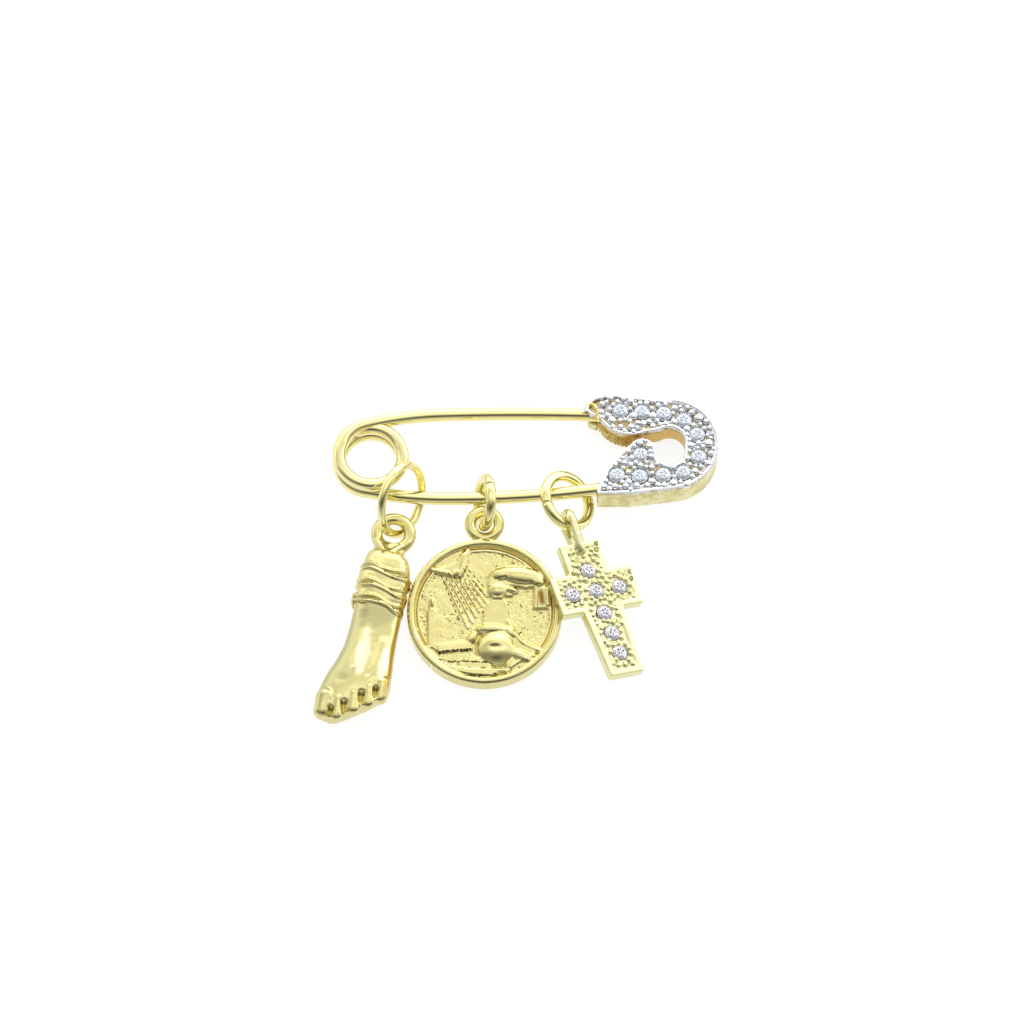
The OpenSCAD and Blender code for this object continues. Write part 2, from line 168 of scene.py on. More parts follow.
def two_tone_finish():
    """Gold-plated walls under a face of rhodium, with the ragged line that the dip leaves, and painted shade
    in recesses.
    """
    finish, start, place = new_finish("two_tone_plate")
    split = place.parts()
    cloud = place.grain(0.45)
    wear_and_highlight = place.grain(1.6)
    fine = place.grain(0.2, 2.0)
    line = split[2] + (cloud - 0.5) * 0.35
    white = line.step(RHODIUM_LINE_Z - 0.1, RHODIUM_LINE_Z + 0.1)
    east, north = [(split[i] - NOTCH[i]) / NOTCH_SPREAD[i] for i in range(2)]
    inner = 1 - (east * east + north * north).step(0.85, 1.1)
    # Hollows of the gold walls get painted shade in deep gold
    hollow = start.node("NewGeometry", out=7).step(0.38, 0.5)
    outer = (wear_and_highlight * 0.6 + cloud * 0.4).step(0.4, 0.6).blend(WALL_GOLD, WALL_SHINE)
    # Painted shade on the walls inside notch and hole
    wall = inner.blend(outer, NOTCH_SHADE)
    gold = hollow.blend(DEEP_GOLD, wall)
    bare = (1 - hollow) * wear_and_highlight.step(0.46, 0.56)
    # The field between the beads is painted darker than rhodium, as shade between them
    grey = cloud.step(0.40, 0.50).blend(FIELD_SHADE_DARK, FIELD_SHADE_PALE)
    floor = place.grain(0.7).step(0.45, 0.6).blend(grey, FIELD_GOLD)
    ground = split[2].step(FACE_FIELD_Z + 0.015, FACE_FIELD_Z + 0.05).blend(floor, RHODIUM)
    silver = bare.blend(ground, BARE_GOLD)
    colour = white.blend(gold, silver)
    rough = 0.14 + wear_and_highlight * 0.14 + (1 - white) * 0.10
    height = cloud + (1 - white) * (inner * fine * 6 + wear_and_highlight * 3)
    plate(start, colour, rough, height, 0.35, 0.05)
    return finish


def take(piece):
    """Puts everything down and takes this one piece in hand."""
    if bpy.context.mode != "OBJECT":
        bpy.ops.object.mode_set(mode="OBJECT")
    bpy.ops.object.select_all(action="DESELECT")
    piece.select_set(True)
    bpy.context.view_layer.objects.active = piece


def new_piece(name, data):
    """A piece of the given mesh or curve, put into the scene."""
    piece = bpy.data.objects.new(name, data)
    bpy.context.scene.collection.objects.link(piece)
    return piece


def copy_of_solid(node, name):
    """A solid of the frame as a piece of its own, in millimetres, with its loose corners merged."""
    piece = new_piece(name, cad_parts[node].data.copy())
    piece.data.materials.clear()
    piece.scale = (1 / MM,) * 3
    take(piece)
    bpy.ops.object.transform_apply()
    bpy.ops.object.mode_set(mode="EDIT")
    bpy.ops.mesh.select_all(action="SELECT")
    bpy.ops.mesh.remove_doubles(threshold=0.002)
    bpy.ops.object.mode_set(mode="OBJECT")
    return piece


def use(piece, kind, **settings):
    """Adds a modifier and applies it."""
    take(piece)
    tool = piece.modifiers.new(kind.lower(), kind)
    for name, value in settings.items():
        setattr(tool, name, value)
    bpy.ops.object.modifier_apply(modifier=tool.name)


def cast(piece, grain, rounds):
    """One skin over all that the piece is made of, with the soft edges that a casting has."""
    use(piece, "REMESH", mode="VOXEL", voxel_size=grain)
    use(piece, "SMOOTH", factor=0.5, iterations=rounds)
    take(piece)
    bpy.ops.object.shade_smooth()


def put_down(piece, finish, slot, *nodes, body="brooch"):
    """The finished piece, in metres, with its place in its mesh, its finish and what it rides on."""
    take(piece)
    bpy.ops.object.transform_apply()
    piece.scale = (MM,) * 3
    bpy.ops.object.transform_apply()
    piece.data.materials.clear()
    piece.data.materials.append(finish)
    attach(piece, body)
    if nodes:
        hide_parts(*nodes)


# How far a wall may lean, and how far down it goes at least
WALL_LEAN = 0.3
WALL_DEPTH = 0.4


def edge_spots(piece, top, spacing):
    """Spots at even distances along the outer edges of a piece's top, where a wall meets it."""
    mesh = bmesh.new()
    mesh.from_mesh(piece.data)
    ends = {}
    for edge in mesh.edges:
        high = all(abs(corner.co.z - top) < 0.01 for corner in edge.verts)
        walls = [face for face in edge.link_faces if abs(face.normal.z) < WALL_LEAN]
        if high and len(walls) == 1 and walls[0].calc_center_median().z < top - WALL_DEPTH:
            a, b = [tuple(round(v, 3) for v in corner.co) for corner in edge.verts]
            ends.setdefault(a, []).append(b)
            ends.setdefault(b, []).append(a)
    mesh.free()
    spots = []
    left_over = 0.0
    while any(ends.values()):
        here = next(spot for spot in ends if ends[spot])
        while ends[here]:
            there = ends[here].pop()
            ends[there].remove(here)
            a, b = Vector(here), Vector(there)
            length = (b - a).length
            while left_over < length:
                spots.append(a.lerp(b, left_over / length))
                left_over += spacing
            left_over -= length
            here = there
    return spots


# How close two grains may sit, as a share of their radii, and how level their ground is at least
GRAIN_ROOM = 0.86
GROUND_LEVEL = 0.95


def free_spots(piece, level, taken, low, high, sizes, tries, seed):
    """Spots for punched grains on a flat field: a probe let down there meets the field, clear of the rest."""
    draw = random.Random(seed)
    found = []
    for _ in range(tries):
        x = draw.uniform(low[0], high[0])
        y = draw.uniform(low[1], high[1])
        r = draw.uniform(*sizes)
        clear = all(math.hypot(x - a, y - b) > GRAIN_ROOM * (r + c) for a, b, c in taken + found)
        hit, at, facing, _ = piece.ray_cast((x, y, level + 5), (0, 0, -1))
        if clear and hit and facing.z > GROUND_LEVEL and abs(at.z - level) < 0.02:
            found.append((x, y, r))
    return found


HEAD_STONE_R = 0.75
# Head stones as x and y, in the order of the frame's nodes
HEAD_STONES = [
    (-0.85, 7.06), (1.12, 6.94), (3.12, 6.78), (4.94, 6.13), (6.12, 4.66), (6.25, 2.42),
    (4.85, 0.86), (3.03, 0.62), (0.88, 0.48), (-1.19, 0.59), (0.98, 2.65),
]
# Beads as x, y and radius
HEAD_BEADS = [
    (-2.52, 7.7, 0.32), (-2.6, 8.33, 0.3), (-1.78, 8.33, 0.34), (-0.98, 8.46, 0.28), (0.1, 8.0, 0.36),
    (0.35, 6.5, 0.4), (2.1, 6.5, 0.4), (-1.62, 6.06, 0.42), (2.12, 8.0, 0.34), (-0.8, 5.45, 0.28),
    (0.12, 5.42, 0.34), (0.02, 6.0, 0.26), (1.25, 5.75, 0.34), (3.3, 5.72, 0.3), (4.1, 7.3, 0.34),
    (4.05, 5.9, 0.36), (5.2, 5.2, 0.34), (6.3, 6.3, 0.46), (5.55, 3.55, 0.36), (7.15, 3.75, 0.42),
    (5.2, 2.25, 0.32), (7.1, 1.75, 0.36), (5.9, 0.95, 0.36), (5.15, -0.35, 0.38), (3.9, 1.35, 0.32),
    (3.95, -0.25, 0.42), (1.98, 1.35, 0.3), (1.95, -0.05, 0.34), (0.05, 1.62, 0.3), (1.75, 3.5, 0.36),
    (0.35, 3.5, 0.28), (0.15, 2.3, 0.28), (-0.12, -0.15, 0.34), (-0.5, 1.8, 0.28), (-1.35, 1.62, 0.3),
    (-2.2, 0.0, 0.26),
]
LOWER_BEADS = 6
LOWER_BEAD_START = Vector((-2.35, -0.58, 0))
LOWER_BEAD_STEP = Vector((0.98, 0.03, 0))
LOWER_BEAD_R = 0.32
# Small grains that fill the field: the corners of their area, their sizes, the number of tries and the seed
FILLERS = (-2.7, -1), (8, 9), (0.22, 0.34), 8000, 3
MILGRAIN_STEP = 0.25
HEAD_SKIN = 0.075

two_tone = two_tone_finish()
head = copy_of_solid("clasp_head", "head_casting")
lower_row = [LOWER_BEAD_START + i * LOWER_BEAD_STEP for i in range(LOWER_BEADS)]
bead_places = HEAD_BEADS + [(at.x, at.y, LOWER_BEAD_R) for at in lower_row]
stone_places = [(x, y, HEAD_STONE_R) for x, y in HEAD_STONES]
fillers = free_spots(head, FACE_FIELD_Z, bead_places + stone_places, *FILLERS)
rim_spots = edge_spots(head, FACE_RIM_Z, MILGRAIN_STEP)
cast(head, HEAD_SKIN, 2)
put_down(head, two_tone, "rhodium", "clasp_head")

# Beads of the head
# Each stone is held by beads raised from the metal with a bead punch. Bigger beads fill the corners, a line
# of fine grain is rolled on the rim's right and lower side, and the far side and the lip have a smooth edge.
RHODIUM_SHADE = (0.50, 0.51, 0.53, 1)
BEAD_Z = 3.06
# How far a small grain's middle stands above the field, as a share of its radius
FILLER_RISE = 0.3
# How much the punch flattens a bead's crown: 1 leaves a ball
CROWN_PRESS = 0.85
# The smooth edge of the lip over the arm, and the curl of gold inside it, as x and y
LIP_LINE = [(-4.02, 7.0), (-3.9, 7.65), (-3.45, 8.15), (-2.8, 8.45), (-1.9, 8.55), (-1.0, 8.55)]
LIP_R = 0.3
LIP_Z = 3.16
LIP_FLAT = 0.4
CURL_LINE = [(-4.05, 7.15), (-3.75, 7.65), (-3.3, 7.65), (-3.0, 7.2), (-2.92, 6.5), (-2.85, 5.95)]
CURL_Z = 3.06
CURL_R = 0.24
# The smooth edge on the far side of the rim: its radius, the point that it runs round, how far out it lies
# at least when the head's length is squeezed so much, where it meets the lip, and which spots it is laid on
FAR_RIM_R = 0.16
HEAD_MIDDLE = Vector((2.0, 3.6, 0))
FAR_RIM_REACH = 4.2
HEAD_SQUEEZE = 0.85
FAR_RIM_START = -1.2
FAR_RIM_SKIP = 3
# The rolled grain: its radius, how far up it goes in front, and from where and how far up at the nose
MILGRAIN_R = 0.13
MILGRAIN_FRONT = 0.3
MILGRAIN_NOSE = (6.2, 3.5)
# Gold grains on the wall under the upper lobe: ends of the line that they are set along, and their rows
EDGE_LINE = [(-3.2, 6.1), (-2.4, 5.4), (-1.5, 4.7), (-0.6, 4.35), (0.4, 4.3)]
EDGE_GRAIN_R = 0.17
EDGE_GRAIN_STEP = 1.8
EDGE_ROWS = (0.35, 0.75, 1.15, 1.55, 1.95)
# A probe for that wall: how far in front it starts, which way it goes, and how far at most
PROBE_BACK = (0.8, 1.6)
PROBE_WAY = Vector((0.45, 0.9, 0))
PROBE_REACH = 4


def join(name, parts):
    """Several parts as one piece."""
    take(parts[0])
    for part in parts:
        part.select_set(True)
    bpy.ops.object.join()
    parts[0].name = name
    return parts[0]


def bead(at, r, flat=0.8, rings=8, sides=12):
    """A punched bead: a ball with its crown pressed a little flat."""
    bpy.ops.mesh.primitive_uv_sphere_add(segments=sides, ring_count=rings, radius=r, location=at)
    made = bpy.context.object
    for corner in made.data.vertices:
        rise = corner.co.z / r
        corner.co.z = r * flat * math.copysign(abs(rise) ** CROWN_PRESS, rise)
    bpy.ops.object.transform_apply()
    bpy.ops.object.shade_smooth()
    return made


def strand(points, r, ends=1.0):
    """A thread of wax laid along a few points, thinner towards its ends if asked."""
    line = bpy.data.curves.new("strand", "CURVE")
    line.dimensions = "3D"
    line.bevel_depth = r
    line.bevel_resolution = 3
    line.resolution_u = 6
    line.use_fill_caps = True
    run = line.splines.new("NURBS")
    run.points.add(len(points) - 1)
    for i, (spot, at) in enumerate(zip(run.points, points)):
        spot.co = (*at, 1)
        spot.radius = ends if i in (0, len(points) - 1) else 1.0
    run.order_u = 3
    run.use_endpoint_u = True
    take(new_piece("strand", line))
    bpy.ops.object.convert(target="MESH")
    return bpy.context.object


def far_side(at):
    """Whether a spot is on the outer edge of the head, from its nose over its far side to the lip."""
    away = at - HEAD_MIDDLE
    outer = math.hypot(away.x * HEAD_SQUEEZE, away.y) > FAR_RIM_REACH
    return at.x > FAR_RIM_START and away.y > 0 and outer


def cloudy_finish(name, size, low, high, shade, bright, gloss, dull, dents):
    """Plate on small worked parts: bright, with faint clouds in its polish."""
    finish, start, place = new_finish(name)
    cloud = place.grain(size)
    colour = cloud.step(low, high).blend(shade, bright)
    plate(start, colour, gloss + cloud * dull, cloud, dents, 0.04)
    return finish


rhodium = cloudy_finish("rhodium_beads", 0.3, 0.25, 0.5, RHODIUM_SHADE, RHODIUM, 0.08, 0.12, 0.3)
beads = [bead((x, y, BEAD_Z), r) for x, y, r in bead_places]
beads += [bead((x, y, FACE_FIELD_Z + FILLER_RISE * r), r, rings=6, sides=10) for x, y, r in fillers]
lip = strand([(x, y, LIP_Z) for x, y in LIP_LINE], LIP_R, 0.7)
for corner in lip.data.vertices:
    corner.co.z = LIP_Z + LIP_FLAT * (corner.co.z - LIP_Z)
bpy.ops.object.shade_smooth()
far_rim = [at for at in rim_spots if far_side(at)]
far_rim.sort(key=lambda at: math.atan2(at.y - HEAD_MIDDLE.y, at.x - HEAD_MIDDLE.x))
rim_line = strand([(at.x, at.y, FACE_RIM_Z - 0.02) for at in far_rim[::FAR_RIM_SKIP]], FAR_RIM_R, 0.7)
bpy.ops.object.shade_smooth()
head_beads = join("head_beads", beads + [lip, rim_line])
put_down(head_beads, rhodium, "rhodium")

nose_x, nose_y = MILGRAIN_NOSE
rolled = [at for at in rim_spots if at.y < MILGRAIN_FRONT or (at.x > nose_x and at.y < nose_y)]
milgrain = [bead((at.x, at.y, FACE_RIM_Z - 0.03), MILGRAIN_R, rings=4, sides=7) for at in rolled]
head_milgrain = join("head_milgrain", milgrain)
put_down(head_milgrain, rhodium, "rhodium")

# Small gold parts at the head's edge, which the dip leaves
PALE_GOLD = (0.82, 0.755, 0.36, 1)


def wall_grains(piece, line, rows, r):
    """Grains along a wall of the head: a probe from the notch finds the wall behind each place."""
    spots = []
    for a, b in zip(line, line[1:]):
        a, b = Vector(a), Vector(b)
        count = max(1, round((b - a).length / (EDGE_GRAIN_STEP * r)))
        for k in range(count):
            for row, z in enumerate(rows):
                at = a.lerp(b, (k + 0.5 * (row % 2)) / count)
                start = Vector((at.x - PROBE_BACK[0], at.y - PROBE_BACK[1], z))
                hit, met, _, _ = piece.ray_cast(start * MM, PROBE_WAY)
                if hit and (met / MM - start).length < PROBE_REACH:
                    spots.append(met / MM)
    return spots


small_gold = cloudy_finish("small_gold_parts", 0.4, 0.35, 0.65, DEEP_GOLD, PALE_GOLD, 0.12, 0.14, 0.0)
curl = strand([(x, y, CURL_Z) for x, y in CURL_LINE], CURL_R, 0.6)
wall_spots = wall_grains(head, EDGE_LINE, EDGE_ROWS, EDGE_GRAIN_R)
edge_grains = [bead(at, EDGE_GRAIN_R, rings=6, sides=8) for at in wall_spots]
lip_curl = join("lip_curl", [curl] + edge_grains)
bpy.ops.object.shade_smooth()
put_down(lip_curl, small_gold, "gold_cast")

# Cut stones
# Clear round stones, cut on a wheel one flat at a time: a table, eight stars, eight kites and sixteen
# small flats above the girdle, and a shallow back below it. They sit in seats drilled in the metal.
CROWN_ANGLE = 36
UPPER_ANGLE = 42
STAR_ANGLE = 24
BACK_ANGLE = 28.5
LOWER_ANGLE = 31
TABLE_SHARE = 0.56
GIRDLE = 0.066
STONE_SIDES = 32
# Where the stars and the small upper flats meet the stone, against the table's corner and the rim
STAR_REACH = 1.03
UPPER_REACH = 0.985


def heading(a):
    return Vector((math.cos(math.radians(a)), math.sin(math.radians(a)), 0))


def grind(turn, tilt, through):
    """One flat on the stone: what lies outside the wheel's plane goes, and the cut is closed."""
    a, t = math.radians(turn), math.radians(tilt)
    facing = (math.sin(t) * math.cos(a), math.sin(t) * math.sin(a), math.cos(t))
    bpy.ops.mesh.select_all(action="SELECT")
    bpy.ops.mesh.bisect(plane_co=through, plane_no=facing, use_fill=True, clear_outer=True, threshold=1e-5)


def cut_stone():
    """A round stone of radius 1 with the middle of its girdle at the origin."""
    bpy.ops.mesh.primitive_cylinder_add(vertices=STONE_SIDES, radius=1, depth=1.6, location=(0, 0, 0))
    stone = bpy.context.object
    crown_h = (1 - TABLE_SHARE) * math.tan(math.radians(CROWN_ANGLE))
    half_girdle = Vector((0, 0, GIRDLE / 2))
    table_z = GIRDLE / 2 + crown_h
    bpy.ops.object.mode_set(mode="EDIT")
    grind(0, 0, (0, 0, table_z))
    for k in range(8):
        rim = heading(45 * k)
        grind(45 * k, CROWN_ANGLE, rim + half_girdle)
        grind(45 * k, 180 - BACK_ANGLE, rim - half_girdle)
        star = math.radians(45 * k + 22.5)
        corner = TABLE_SHARE * math.cos(math.radians(22.5)) * STAR_REACH
        grind(45 * k + 22.5, STAR_ANGLE, (corner * math.cos(star), corner * math.sin(star), table_z))
        for side in (11.25, -11.25):
            flat = heading(45 * k + side) * UPPER_REACH
            grind(45 * k + side, UPPER_ANGLE, flat + half_girdle)
            grind(45 * k + side, 180 - LOWER_ANGLE, flat - half_girdle)
    bpy.ops.mesh.select_all(action="SELECT")
    bpy.ops.mesh.remove_doubles(threshold=0.002)
    bpy.ops.mesh.normals_make_consistent(inside=False)
    bpy.ops.object.mode_set(mode="OBJECT")
    bpy.ops.object.shade_flat()
    plan = stone.data.uv_layers.active
    for corner in stone.data.loops:
        plan.data[corner.index].uv = stone.data.vertices[corner.vertex_index].co.xy
    return stone


# Where painted reflections of the back's flats show, as shares of the stone's radius, and the glint between
TABLE_WEDGES = (0.12, 0.5)
CROWN_WEDGES = (0.62, 0.93)
TABLE_EDGE = 0.55
STONE_GLINT = (0.95, 0.97, 1.0, 1)


def crystal_finish(name, dark, pale, dark_level, crown_level):
    """Clear crystal of high brilliance, with painted reflections: its back's flats as bright and dark wedges.
    """
    finish, start, place = new_finish(name)
    plan = start.node("TexCoord", out=2)
    east, north, _ = plan.parts()
    reach = (east * east + north * north).maths("SQRT")
    turn = north.maths("ARCTAN2", east)
    patch = place.grain(0.34, 1.0)
    wedge = (turn * 5 + patch * 9).maths("SINE") + (patch - 0.5) * 1.6
    narrow = (turn * 16 + patch * 7).maths("SINE") + (patch - 0.5) * 1.2
    # Painted reflections: dark wedges of the back's flats under the table and the crown
    under_table = (wedge > dark_level) * (reach > TABLE_WEDGES[0]) * (reach < TABLE_WEDGES[1])
    under_crown = (narrow > crown_level) * (reach > CROWN_WEDGES[0]) * (reach < CROWN_WEDGES[1])
    # A painted glint round the table's edge
    ring = (reach - TABLE_EDGE + (patch - 0.5) * 0.12).maths("ABSOLUTE") < 0.03
    shade = under_table.maths("MAXIMUM", under_crown)
    colour = ring.blend(shade.blend(pale, dark), STONE_GLINT)
    close_finish(start, {
        "Base Color": colour, "Metallic": 0.35, "Roughness": 0.05 + patch * 0.05, "IOR": 1.7,
        "Specular IOR Level": 0.5,
    })
    return finish


GIRDLE_LIFT = 0.02
# How much each stone of the head is turned against the last, in degrees
HEAD_STONE_TURN = 37


def set_stones(pattern, finish, name, node, stones, field_z, turn, r, charm=Matrix()):
    """Copies of the cut stone in their seats on the level field of a charm, girdles just above the field."""
    for i, (x, y) in enumerate(stones):
        stone = new_piece(f"{name}_{i + 1}", pattern.data.copy())
        seat = Matrix.Translation((x, y, field_z + GIRDLE_LIFT))
        seat = seat @ Matrix.Rotation(math.radians(turn * i), 4, "Z") @ Matrix.Scale(r, 4)
        stone.matrix_world = charm @ seat
        put_down(stone, finish, "crystal", f"{node}_{i + 1}")


# Pale and dark colours of the painted reflections in the head's stones
crystal = crystal_finish("crystal_pale", (0.34, 0.41, 0.48, 1), (0.86, 0.91, 0.95, 1), 0.1, 0.5)
stone_pattern = cut_stone()
set_stones(
    stone_pattern, crystal, "head_crystal", "head_stone",
    HEAD_STONES, FACE_FIELD_Z, HEAD_STONE_TURN, HEAD_STONE_R,
)

# Fixed wire
# Half-hard gold-plated wire, drawn and then bent round a peg. Its end is soldered in the head, it runs
# under the charms and makes the lower turn of the coil.
WIRE_R = 0.6
WIRE_Z = 2.0
FIXED_HEADING = 7.6
OUTER_BEND_R = 100
INNER_BEND_R = 40
COIL_ENTRY = 11
COIL_R = 2.9
LOWER_TURN_END = 25
# Where the wire's end lies in the head, and where its straight stretch stops
WIRE_END = 0.5
STRAIGHT_END_X = -3.2
WIRE_SIDES = 28
WARM_GOLD = (0.86, 0.77, 0.38, 1)
DOWN_Z = Vector((0, 0, -1))


def left_of(a):
    return heading(a + 90)


def start_wire(name, at, along, r):
    """The round section of a wire at its end, facing along it."""
    turn = Vector(along).to_track_quat("Z", "Y").to_euler()
    bpy.ops.mesh.primitive_circle_add(vertices=WIRE_SIDES, radius=r, location=at, rotation=turn)
    wire = bpy.context.object
    wire.name = name
    bpy.ops.object.transform_apply()
    bpy.ops.object.mode_set(mode="EDIT")
    bpy.ops.mesh.select_all(action="SELECT")
    return wire


def bend_on(centre, axis, angle, steps):
    """Carries the wire's end round a bend."""
    bpy.ops.mesh.spin(steps=steps, angle=-math.radians(angle), center=centre, axis=axis)


def run_on(by, pivot, scale=1.0):
    """Carries the wire's end straight on, and draws it thinner if asked."""
    bpy.ops.mesh.extrude_region_move(TRANSFORM_OT_translate={"value": by})
    if scale != 1.0:
        bpy.ops.transform.resize(value=(scale,) * 3, center_override=pivot)


def round_off(at, along, r):
    """Files the wire's open end to a dome."""
    size = 1.0
    for k in range(1, 6):
        a = math.radians(18 * k)
        low = math.radians(18 * (k - 1))
        step = along * r * (math.sin(a) - math.sin(low))
        new_size = max(math.cos(a), 0.02)
        here = at + along * r * math.sin(a)
        run_on(step, here, new_size / size)
        size = new_size
    bpy.ops.mesh.merge(type="CENTER")


def end_wire(wire):
    """Closes the work on a wire: doubles merged, faces outwards, smooth."""
    bpy.ops.mesh.select_all(action="SELECT")
    bpy.ops.mesh.remove_doubles(threshold=0.001)
    bpy.ops.mesh.normals_make_consistent(inside=False)
    bpy.ops.object.mode_set(mode="OBJECT")
    take(wire)
    bpy.ops.object.shade_smooth()


def pick_ring(wire, at, r):
    """Takes hold of the open end of a wire that lies round a point."""
    bpy.ops.object.mode_set(mode="OBJECT")
    for corner in wire.data.vertices:
        corner.select = abs((corner.co - at).length - r) < 0.01
    for edge in wire.data.edges:
        edge.select = all(wire.data.vertices[i].select for i in edge.vertices)
    for face in wire.data.polygons:
        face.select = False
    bpy.ops.object.mode_set(mode="EDIT")


def polished_gold_finish():
    """Gold plate on drawn wire: a high polish with faint clouds and fine drawing marks."""
    finish, start, place = new_finish("polished_gold_wire")
    cloud = place.grain(2.2)
    fine = place.grain(0.12, 2.0)
    colour = cloud.step(0.3, 0.75).blend(PALE_GOLD, WARM_GOLD)
    rough = 0.06 + cloud * 0.05 + fine.step(0.5, 0.9) * 0.06
    plate(start, colour, rough, fine, 0.08, 0.03)
    return finish


polished_gold = polished_gold_finish()
wire_level = Vector((0, 0, WIRE_Z))
wire_end = heading(FIXED_HEADING) * WIRE_END + wire_level
wire_out = Vector((STRAIGHT_END_X, STRAIGHT_END_X * math.tan(math.radians(FIXED_HEADING)), WIRE_Z))
outer_bend = wire_out + OUTER_BEND_R * left_of(FIXED_HEADING)
inner_bend = outer_bend - (OUTER_BEND_R - INNER_BEND_R) * left_of(0)
coil_c = inner_bend - (INNER_BEND_R - COIL_R) * left_of(-COIL_ENTRY)

lower_wire = start_wire("lower_wire", wire_end, -heading(FIXED_HEADING), WIRE_R)
run_on(wire_out - wire_end, wire_out)
bend_on(outer_bend, DOWN_Z, FIXED_HEADING, steps=8)
bend_on(inner_bend, DOWN_Z, COIL_ENTRY, steps=10)
bend_on(coil_c, DOWN_Z, 270 - COIL_ENTRY - LOWER_TURN_END, steps=60)
round_off(coil_c + COIL_R * heading(LOWER_TURN_END), -left_of(LOWER_TURN_END), WIRE_R)
pick_ring(lower_wire, wire_end, WIRE_R)
bpy.ops.mesh.fill()
end_wire(lower_wire)
put_down(lower_wire, polished_gold, "gold_wire", "fixed_wire")

# Arm
# The other half of the same wire: it makes the coil's upper turn, springs out to the left and round,
# and runs to the head, where its ground point rests in the catch.
ARM_SLOPE = 4.87
TURN_GAP = 0.05
UPPER_TURN_START = 112
# Three bends of growing radius, and the headings before, between and after them
ARM_BEND_R = (3.2, 32, 218)
ARM_HEADING = (90, 17, 4.15, 0.45)
ARM_STRAIGHT = 0.6
POINT_LENGTH = 3.6
TIP_R = 0.24

slope = math.radians(ARM_SLOPE)
right_z = WIRE_Z + 2 * WIRE_R + TURN_GAP
left_z = right_z + 2 * COIL_R * math.sin(slope)
coil_left = Vector((coil_c.x - COIL_R, coil_c.y, left_z))
arm_right = Vector((math.cos(slope), 0, -math.sin(slope)))
arm_down = -Vector((math.sin(slope), 0, math.cos(slope)))


def on_arm(flat):
    """A point of the arm's sloping plane."""
    return coil_left + flat.x * arm_right + Vector((0, flat.y, 0))


turn_c = Vector((coil_left.x + 2 * COIL_R * math.cos(slope) - COIL_R, coil_c.y, right_z))
turn_start = turn_c + COIL_R * heading(UPPER_TURN_START)
arm_wire = start_wire("arm_wire", turn_start, -left_of(UPPER_TURN_START), WIRE_R)
bend_on(turn_c, DOWN_Z, UPPER_TURN_START, steps=28)
bend_on(on_arm(Vector((COIL_R, 0, 0))), arm_down, 180, steps=44)
bend_c = Vector((0, 0, 0))
old_r = 0
for r, before, after in zip(ARM_BEND_R, ARM_HEADING, ARM_HEADING[1:]):
    bend_c = bend_c - (r - old_r) * left_of(before)
    bend_on(on_arm(bend_c), arm_down, before - after, steps=20)
    old_r = r
arm_end = bend_c + old_r * left_of(ARM_HEADING[-1])
arm_along = (on_arm(arm_end + heading(ARM_HEADING[-1])) - on_arm(arm_end)).normalized()
straight_end = on_arm(arm_end) + ARM_STRAIGHT * arm_along
run_on(ARM_STRAIGHT * arm_along, straight_end)
point_end = straight_end + POINT_LENGTH * arm_along
run_on(POINT_LENGTH * arm_along, point_end, TIP_R / WIRE_R)
round_off(point_end, arm_along, TIP_R)
pick_ring(arm_wire, turn_start, WIRE_R)
round_off(turn_start, left_of(UPPER_TURN_START), WIRE_R)
end_wire(arm_wire)
put_down(arm_wire, polished_gold, "gold_wire", "pin_arm", body="arm")

# Jump rings
# Three rings of round wire, wound on a mandrel, sawn apart and closed, each with a hairline seam.
# They are threaded on the fixed wire and hold a charm each.
RING_SEAM = 1.2
# Rings as name, node, centre, tilt, turn, radius of the centre line, radius of the wire and angle of the seam
RINGS = [
    ("hand_ring", "ring_hand", (-20.69, -2.06, 3.37), 67.4, -26.3, 3.2, 0.4, 38),
    ("medal_ring", "ring_medal", (-13.18, -1.98, 2.62), 75, 183.5, 2.18, 0.5, 200),
    ("cross_ring", "ring_cross", (-5.68, -1.53, 1.96), 35.9, 1.3, 2.44, 0.5, 200),
]
for name, node, centre, tilt, turn, radius, wire_r, seam_at in RINGS:
    lean = Matrix.Rotation(math.radians(turn), 3, "Z") @ Matrix.Rotation(math.radians(tilt), 3, "Y")
    seam = Vector(centre) + lean @ (radius * heading(seam_at))
    ring = start_wire(name, seam, lean @ left_of(seam_at), wire_r)
    bpy.ops.mesh.edge_face_add()
    bend_on(centre, lean @ Vector((0, 0, 1)), 360 - RING_SEAM, steps=72)
    end_wire(ring)
    put_down(ring, polished_gold, "gold_wire", node)

# Hand charm
# A closed fist in one casting, with a banded cuff and a loop on two legs. The back of the hand is
# polished, and the folds between the fingers get painted shade.
HAND_AT = (-21.43, -4.82, 1.9)
HAND_TURN = -14
# Pale gold for painted highlights on raised parts and on the hand's tendons
HIGHLIGHT_GOLD = (0.93, 0.88, 0.58, 1)
HAND_GOLD = (0.68, 0.615, 0.275, 1)
FOLD_SHADE = (0.42, 0.32, 0.11, 1)
# Painted light on the hand's plating as x, y, slant, half sizes and colour: painted shade on its left,
# below the cuff and on its right edge, and painted highlights on the two tendons
SHADE_PATCH_GOLD = (0.52, 0.49, 0.235, 1)
HAND_LIGHT_PATCHES = [
    (-26.2, -17.0, 0.28, 1.6, 5.5, SHADE_PATCH_GOLD), (-23.2, -13.6, 0.2, 2.0, 1.4, SHADE_PATCH_GOLD),
    (-20.95, -15.0, 0.19, 0.4, 7.0, DEEP_GOLD),
    (-24.1, -17.3, 0.2, 0.7, 2.2, HIGHLIGHT_GOLD), (-22.3, -18.3, 0.2, 0.5, 1.6, HIGHLIGHT_GOLD),
]


